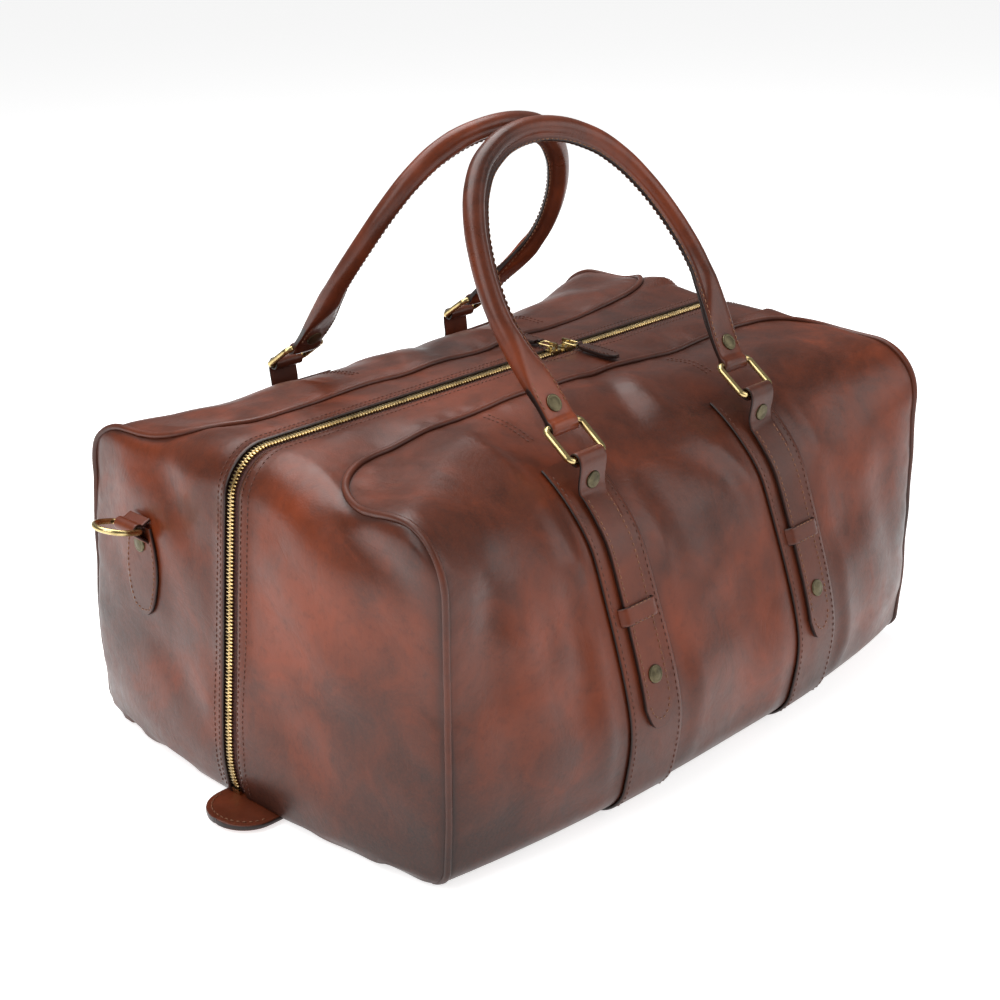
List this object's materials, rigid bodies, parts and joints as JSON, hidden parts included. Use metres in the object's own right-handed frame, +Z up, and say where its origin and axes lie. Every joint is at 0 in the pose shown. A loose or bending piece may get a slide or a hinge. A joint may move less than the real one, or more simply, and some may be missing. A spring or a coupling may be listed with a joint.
{
  "type": "weekender bag",
  "caption": "Soft leather weekender bag with a zipped top, piped panels, straps round the base, rolled handles on metal rings and D-rings at the ends.",
  "frame": {"origin": "centre of the footprint, on the surface the bag stands on", "axes": "+X along the bag's length, +Y to the back, +Z up"},
  "size_m": [0.5956, 0.431, 0.4177],
  "materials": {
    "panel_leather": "glossy pull-up leather, chestnut",
    "trim_leather": "glossy leather with painted edges",
    "handle_leather": "rolled glossy leather, stitched",
    "antique_brass": "polished antique brass",
    "rivet_brass": "matte antiqued brass",
    "zip_brass": "bright brass",
    "zip_tape": "woven tape, red brown",
    "lining_cloth": "woven cotton",
    "board": "stiff fibre board",
    "handle_core": "twisted cord"
  },
  "bodies": {
    "bag": {"front_panel": "panel_leather", "back_panel": "panel_leather", "bottom_panel": "panel_leather", "gusset_front": "panel_leather", "gusset_back": "panel_leather", "piping_front": "trim_leather", "piping_back": "trim_leather", "zip_tape_front": "zip_tape", "zip_tape_back": "zip_tape", "zip_teeth_front": "zip_brass", "zip_teeth_back": "zip_brass", "zip_end_stops": "zip_brass", "lining": "lining_cloth", "base_board": "board", "end_tab_left": "trim_leather", "end_tab_right": "trim_leather", "base_strap_left": "trim_leather", "base_strap_right": "trim_leather", "front_strap_left": "trim_leather", "front_strap_right": "trim_leather", "back_strap_left": "trim_leather", "back_strap_right": "trim_leather", "front_keeper_left": "trim_leather", "front_keeper_right": "trim_leather", "back_keeper_left": "trim_leather", "back_keeper_right": "trim_leather", "strap_rivets": "rivet_brass", "d_ring_patch_left": "trim_leather", "d_ring_patch_right": "trim_leather"},
    "d_ring_left": {"d_ring_left": "antique_brass"},
    "d_ring_right": {"d_ring_right": "antique_brass"},
    "front_ring_left": {"front_ring_left": "antique_brass"},
    "front_ring_right": {"front_ring_right": "antique_brass"},
    "front_handle": {"front_handle": "handle_leather", "front_handle_core": "handle_core", "front_handle_rivets": "rivet_brass"},
    "back_ring_left": {"back_ring_left": "antique_brass"},
    "back_ring_right": {"back_ring_right": "antique_brass"},
    "back_handle": {"back_handle": "handle_leather", "back_handle_core": "handle_core", "back_handle_rivets": "rivet_brass"},
    "slider_left": {"slider_left": "antique_brass"},
    "pull_ring_left": {"pull_ring_left": "antique_brass"},
    "pull_tab_left": {"pull_tab_left": "trim_leather"},
    "slider_right": {"slider_right": "antique_brass"},
    "pull_ring_right": {"pull_ring_right": "antique_brass"},
    "pull_tab_right": {"pull_tab_right": "trim_leather"}
  },
  "joints": [
    {"name": "front_ring_left_hinge", "type": "hinge", "parent": "bag", "child": "front_ring_left", "pos_m": [-0.09, -0.14585, 0.23392], "axis": [1, 0, 0], "range_deg": [0, 45]},
    {"name": "front_ring_right_hinge", "type": "hinge", "parent": "bag", "child": "front_ring_right", "pos_m": [0.09, -0.14585, 0.23392], "axis": [1, 0, 0], "range_deg": [0, 45]},
    {"name": "front_handle_hinge", "type": "hinge", "parent": "front_ring_left", "child": "front_handle", "pos_m": [-0.09, -0.124, 0.24979], "axis": [1, 0, 0], "range_deg": [0, 95]},
    {"name": "back_ring_left_hinge", "type": "hinge", "parent": "bag", "child": "back_ring_left", "pos_m": [-0.09, 0.14585, 0.23392], "axis": [-1, 0, 0], "range_deg": [0, 45]},
    {"name": "back_ring_right_hinge", "type": "hinge", "parent": "bag", "child": "back_ring_right", "pos_m": [0.09, 0.14585, 0.23392], "axis": [-1, 0, 0], "range_deg": [0, 45]},
    {"name": "back_handle_hinge", "type": "hinge", "parent": "back_ring_left", "child": "back_handle", "pos_m": [-0.09, 0.124, 0.24979], "axis": [-1, 0, 0], "range_deg": [0, 95]},
    {"name": "slider_left_slide", "type": "slide", "parent": "bag", "child": "slider_left", "axis": [-1, 0, 0], "range_m": [0, 0.22]},
    {"name": "pull_ring_left_hinge", "type": "hinge", "parent": "slider_left", "child": "pull_ring_left", "pos_m": [0.04, -0.0006, 0.24685], "axis": [1, 0, 0], "range_deg": [0, 100]},
    {"name": "pull_tab_left_hinge", "type": "hinge", "parent": "pull_ring_left", "child": "pull_tab_left", "pos_m": [0.04, 0.0124, 0.24685], "axis": [1, 0, 0], "range_deg": [0, 75]},
    {"name": "slider_right_slide", "type": "slide", "parent": "bag", "child": "slider_right", "axis": [1, 0, 0], "range_m": [0, 0.145]},
    {"name": "pull_ring_right_hinge", "type": "hinge", "parent": "slider_right", "child": "pull_ring_right", "pos_m": [0.054, 0.0006, 0.24685], "axis": [-1, 0, 0], "range_deg": [0, 100]},
    {"name": "pull_tab_right_hinge", "type": "hinge", "parent": "pull_ring_right", "child": "pull_tab_right", "pos_m": [0.054, -0.0124, 0.24685], "axis": [-1, 0, 0], "range_deg": [0, 75]},
    {"name": "d_ring_left_hinge", "type": "hinge", "parent": "bag", "child": "d_ring_left", "pos_m": [-0.2725, 0.094, 0.172], "axis": [0, 1, 0], "range_deg": [-80, 60]},
    {"name": "d_ring_right_hinge", "type": "hinge", "parent": "bag", "child": "d_ring_right", "pos_m": [0.2725, -0.094, 0.172], "axis": [0, -1, 0], "range_deg": [-80, 60]}
  ],
  "couplings": [
    {"joint": "front_ring_right_hinge", "follows": "front_ring_left_hinge", "ratio": 1},
    {"joint": "back_ring_right_hinge", "follows": "back_ring_left_hinge", "ratio": 1}
  ]
}
